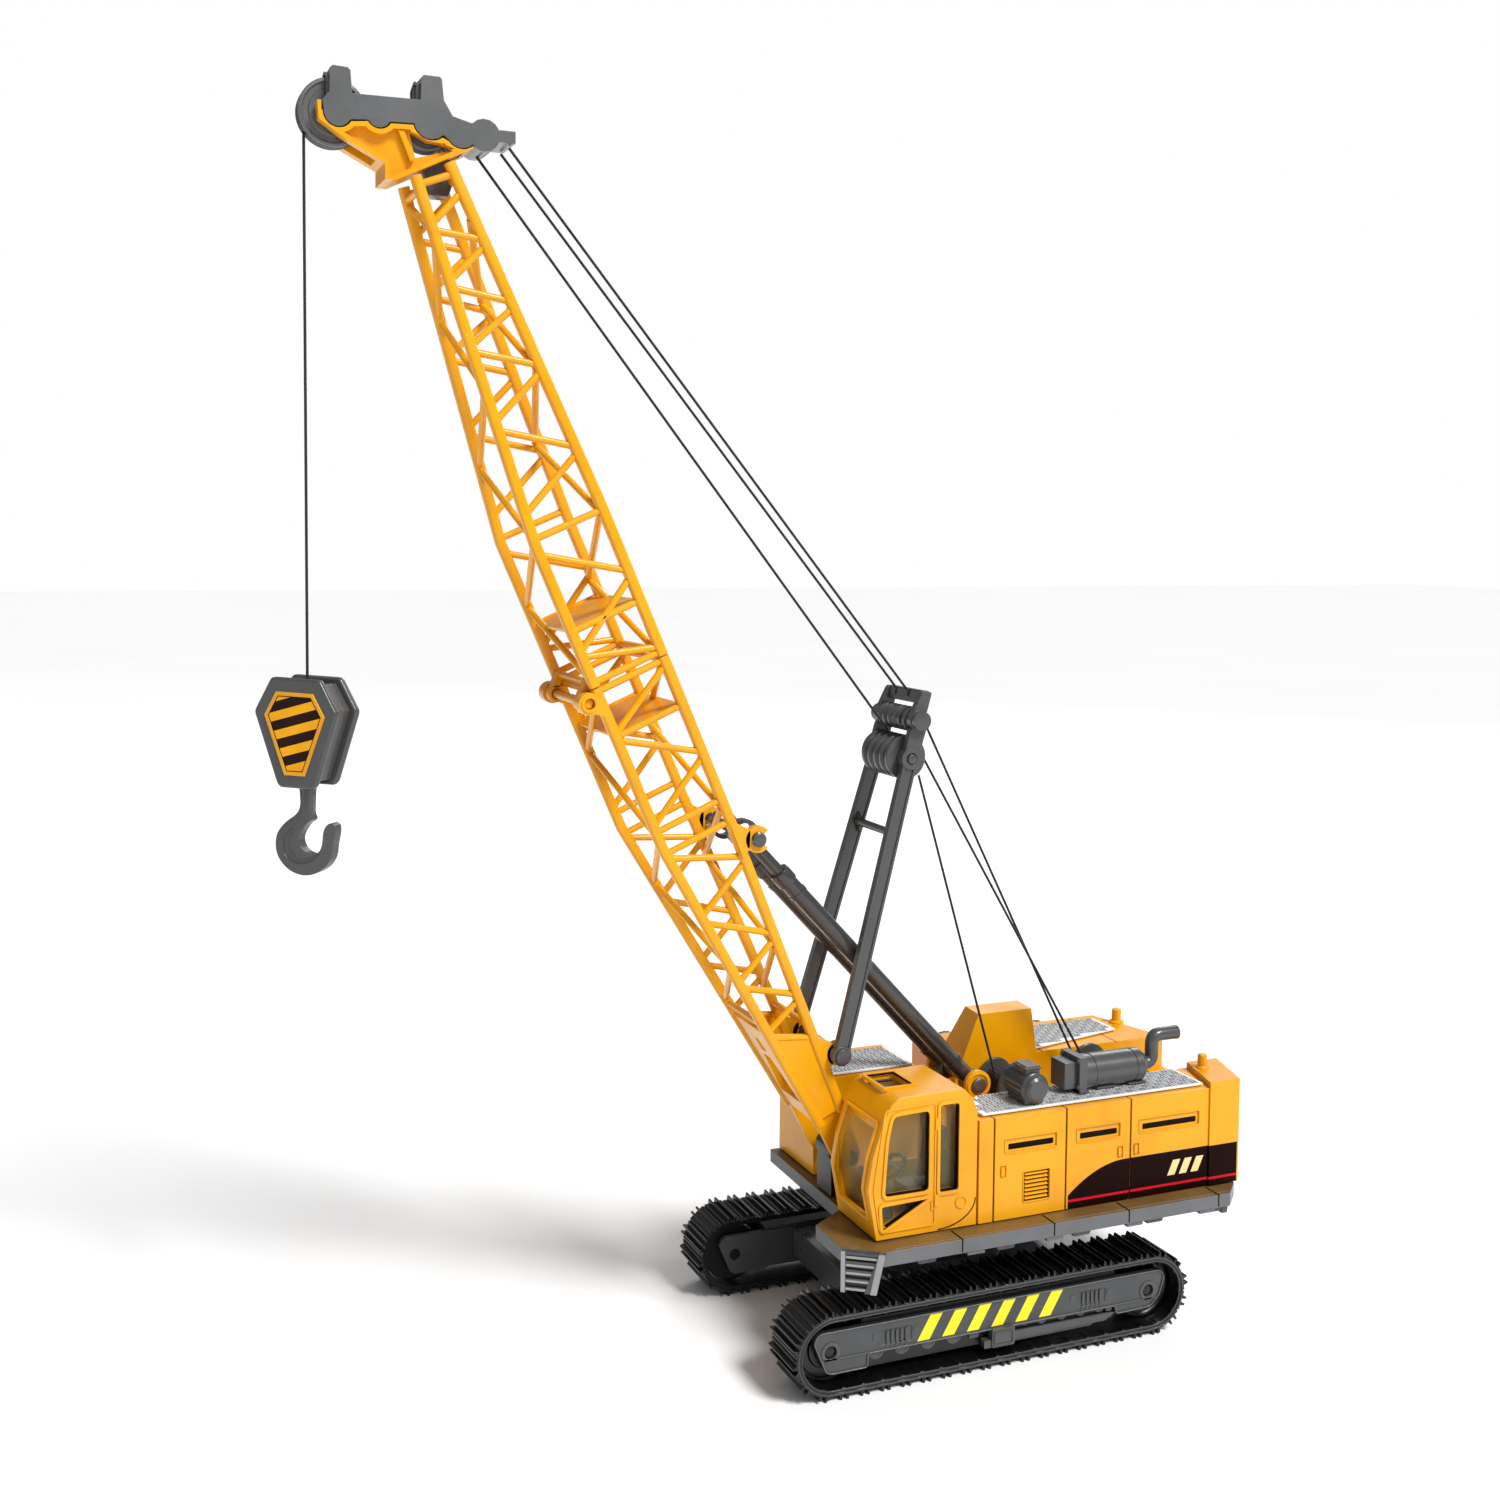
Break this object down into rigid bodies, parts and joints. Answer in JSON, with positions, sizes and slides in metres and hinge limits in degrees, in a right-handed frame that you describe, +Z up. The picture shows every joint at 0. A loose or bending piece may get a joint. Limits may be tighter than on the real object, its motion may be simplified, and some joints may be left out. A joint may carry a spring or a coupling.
{
  "type": "toy crawler crane",
  "caption": "Toy crawler crane on two tracks, with a slewing upper deck, folding lattice boom, mast, winch drums, ropes and a hoisting hook.",
  "frame": {"origin": "middle of the part's footprint on the ground, at the lowest point of the tracks", "axes": "+Z up, -X the way the tracks, cab and boom face, -Y the cab's side"},
  "size_m": [0.276, 0.087, 0.3345],
  "materials": {
    "body_yellow": "glossy moulded yellow-orange plastic",
    "dark_grey": "satin dark grey plastic",
    "light_grey": "satin mid grey plastic",
    "track_black": "matt black soft plastic",
    "deck_brown": "satin olive-brown walkway with a grey edge",
    "tread_plate": "bright silver tread plate",
    "amber_glazing": "tinted clear plastic",
    "steel": "steel pin",
    "cord": "thin black braided cord"
  },
  "bodies": {
    "undercarriage": {"carbody": "dark_grey", "slew_ring": "light_grey", "track_frame_left": "dark_grey", "track_frame_right": "dark_grey", "track_plate_left": "dark_grey", "track_plate_right": "dark_grey", "track_belt_left": "track_black", "track_belt_right": "track_black"},
    "drive_wheel_left": {"sprocket_left": "track_black"},
    "idler_wheel_left": {"idler_left": "track_black"},
    "drive_wheel_right": {"sprocket_right": "track_black"},
    "idler_wheel_right": {"idler_right": "track_black"},
    "upper_structure": {"deck": "deck_brown", "cab_steps": "light_grey", "boom_bracket": "track_black", "engine_box": "body_yellow", "machinery_box": "body_yellow", "cab_shell": "body_yellow", "cab_glazing": "amber_glazing", "cab_seat": "light_grey", "cab_console": "dark_grey", "tread_plate_left": "tread_plate", "tread_plate_front": "tread_plate", "tread_plate_rear": "tread_plate", "muffler": "dark_grey", "exhaust_pipe": "dark_grey", "winch_motor": "dark_grey", "boom_foot_pin": "steel", "strut_foot_shaft": "steel"},
    "hoist_winch": {"hoist_drum": "dark_grey"},
    "luff_winch": {"luff_drum": "dark_grey"},
    "boom_low": {"boom_lower": "body_yellow", "mast_frame": "dark_grey", "mast_foot_shaft": "steel", "strut_crosshead": "dark_grey", "fold_pin": "steel"},
    "mast_pulley_set": {"mast_pulleys": "dark_grey"},
    "mast_roller_set": {"mast_roller": "dark_grey"},
    "boom_top": {"boom_upper": "body_yellow", "head_frame": "body_yellow", "head_cap": "light_grey"},
    "pendants": {"pendant_a": "cord", "pendant_b": "cord", "pendant_c": "cord"},
    "sheave_front": {"head_sheave_front": "light_grey"},
    "sheave_rear": {"head_sheave_rear": "light_grey"},
    "head_pin": {"head_pin_front": "steel"},
    "hoist_line": {"hoist_rope": "cord"},
    "hook_block": {"hook_cheek_left": "light_grey", "hook_cheek_right": "light_grey", "hook_block_core": "dark_grey"},
    "crane_hook": {"hook": "dark_grey"},
    "strut_barrels": {"strut_barrel_left": "dark_grey", "strut_barrel_right": "dark_grey"},
    "strut_rods": {"strut_rod_left": "light_grey", "strut_rod_right": "light_grey"},
    "luff_line_base": {"luff_rope_a": "cord"},
    "luff_line_reach": {"luff_rope_b": "cord"},
    "hoist_lead_base": {"hoist_lead_low": "cord"},
    "hoist_lead_reach": {"hoist_lead_top": "cord"}
  },
  "joints": [
    {"name": "left_drive_spin", "type": "hinge", "parent": "undercarriage", "child": "drive_wheel_left", "pos_m": [0.09878, -0.02982, 0.0119], "axis": [0, 1, 0], "continuous": true},
    {"name": "left_idler_spin", "type": "hinge", "parent": "undercarriage", "child": "idler_wheel_left", "pos_m": [-0.00002, -0.02982, 0.0119], "axis": [0, 1, 0], "continuous": true},
    {"name": "right_drive_spin", "type": "hinge", "parent": "undercarriage", "child": "drive_wheel_right", "pos_m": [0.09878, 0.03418, 0.0119], "axis": [0, 1, 0], "continuous": true},
    {"name": "right_idler_spin", "type": "hinge", "parent": "undercarriage", "child": "idler_wheel_right", "pos_m": [-0.00002, 0.03418, 0.0119], "axis": [0, 1, 0], "continuous": true},
    {"name": "slew", "type": "hinge", "parent": "undercarriage", "child": "upper_structure", "pos_m": [0.04938, 0.00218, 0.0271], "axis": [0, 0, 1], "continuous": true},
    {"name": "boom_luff", "type": "hinge", "parent": "upper_structure", "child": "boom_low", "pos_m": [0.01888, 0.00218, 0.0507], "axis": [0, -1, 0], "range_deg": [-8, 35]},
    {"name": "boom_fold", "type": "hinge", "parent": "boom_low", "child": "boom_top", "pos_m": [-0.05922, 0.00218, 0.1806], "axis": [0, -1, 0], "range_deg": [0, 150]},
    {"name": "pendant_stow", "type": "hinge", "parent": "boom_top", "child": "pendants", "pos_m": [-0.08292, 0.00218, 0.3215], "axis": [0, -1, 0], "range_deg": [-18, 1]},
    {"name": "plumb_luff", "type": "hinge", "parent": "boom_top", "child": "head_pin", "pos_m": [-0.11922, 0.00218, 0.3243], "axis": [0, -1, 0], "range_deg": [-36, 9]},
    {"name": "plumb_fold", "type": "hinge", "parent": "head_pin", "child": "hoist_line", "pos_m": [-0.11922, 0.00218, 0.3243], "axis": [0, -1, 0], "range_deg": [-151, 1]},
    {"name": "hook_hoist", "type": "slide", "parent": "hoist_line", "child": "hook_block", "axis": [0, 0, 1], "range_m": [-0.125, 0.09], "deforming": ["hoist_rope"]},
    {"name": "hook_swivel", "type": "hinge", "parent": "hook_block", "child": "crane_hook", "pos_m": [-0.12582, 0.00218, 0.1627], "axis": [0, 0, 1], "continuous": true},
    {"name": "head_sheave_front_spin", "type": "hinge", "parent": "boom_top", "child": "sheave_front", "pos_m": [-0.11922, 0.00218, 0.3243], "axis": [0, 1, 0], "range_deg": [-1220, 900]},
    {"name": "head_sheave_rear_spin", "type": "hinge", "parent": "boom_top", "child": "sheave_rear", "pos_m": [-0.09632, 0.00218, 0.3233], "axis": [0, 1, 0], "range_deg": [-1600, 1150]},
    {"name": "mast_pulleys_spin", "type": "hinge", "parent": "boom_low", "child": "mast_pulley_set", "pos_m": [0.03618, 0.00218, 0.1617], "axis": [0, 1, 0], "range_deg": [-1400, 1010]},
    {"name": "hoist_drum_spin", "type": "hinge", "parent": "upper_structure", "child": "hoist_winch", "pos_m": [0.07618, 0.00218, 0.0622], "axis": [0, -1, 0], "range_deg": [-2150, 1550]},
    {"name": "strut_tilt", "type": "hinge", "parent": "upper_structure", "child": "strut_barrels", "pos_m": [0.05888, 0.00218, 0.0672], "axis": [0, -1, 0], "range_deg": [-7, 29]},
    {"name": "strut_slide", "type": "slide", "parent": "strut_barrels", "child": "strut_rods", "axis": [-0.6848, 0, 0.7288], "range_m": [-0.0053, 0.0225]},
    {"name": "luff_drum_spin", "type": "hinge", "parent": "upper_structure", "child": "luff_winch", "pos_m": [0.10938, 0.00218, 0.0622], "axis": [0, 1, 0], "range_deg": [-140, 600]},
    {"name": "mast_roller_spin", "type": "hinge", "parent": "boom_low", "child": "mast_roller_set", "pos_m": [0.03838, 0.00218, 0.1723], "axis": [0, 1, 0], "range_deg": [-210, 880]},
    {"name": "luff_line_tilt", "type": "hinge", "parent": "upper_structure", "child": "luff_line_base", "pos_m": [0.10448, 0.00218, 0.0635], "axis": [0, -1, 0], "range_deg": [-6, 24]},
    {"name": "luff_line_slide", "type": "slide", "parent": "luff_line_base", "child": "luff_line_reach", "axis": [-0.5135, 0, 0.8581], "range_m": [-0.011, 0.046], "deforming": ["luff_rope_a", "luff_rope_b"]},
    {"name": "hoist_lead_tilt", "type": "hinge", "parent": "upper_structure", "child": "hoist_lead_base", "pos_m": [0.07258, 0.00218, 0.0625], "axis": [0, -1, 0], "range_deg": [-7.5, 31]},
    {"name": "hoist_lead_slide", "type": "slide", "parent": "hoist_lead_base", "child": "hoist_lead_reach", "axis": [-0.2898, 0, 0.9571], "range_m": [-0.0076, 0.0325], "deforming": ["hoist_lead_low", "hoist_lead_top"]}
  ],
  "couplings": [
    {"joint": "left_idler_spin", "follows": "left_drive_spin", "ratio": 1},
    {"joint": "right_idler_spin", "follows": "right_drive_spin", "ratio": 1},
    {"joint": "plumb_luff", "follows": "boom_luff", "ratio": -1},
    {"joint": "plumb_fold", "follows": "boom_fold", "ratio": -1},
    {"joint": "pendant_stow", "follows": "boom_fold", "ratio": -0.1087},
    {"joint": "strut_tilt", "follows": "boom_luff", "ratio": 0.8026},
    {"joint": "strut_slide", "follows": "boom_luff", "m_per_rad": 0.03616},
    {"joint": "luff_line_tilt", "follows": "boom_luff", "ratio": 0.6738},
    {"joint": "luff_line_slide", "follows": "boom_luff", "m_per_rad": 0.0736},
    {"joint": "hoist_lead_tilt", "follows": "boom_luff", "ratio": 0.8663},
    {"joint": "hoist_lead_slide", "follows": "boom_luff", "m_per_rad": 0.05242},
    {"joint": "luff_drum_spin", "follows": "boom_luff", "ratio": 15.8},
    {"joint": "mast_roller_spin", "follows": "boom_luff", "ratio": 24},
    {"joint": "hoist_drum_spin", "follows": "hook_hoist", "rad_per_m": 289},
    {"joint": "head_sheave_front_spin", "follows": "hook_hoist", "rad_per_m": 162},
    {"joint": "head_sheave_rear_spin", "follows": "hook_hoist", "rad_per_m": 210},
    {"joint": "mast_pulleys_spin", "follows": "hook_hoist", "rad_per_m": 190}
  ]
}
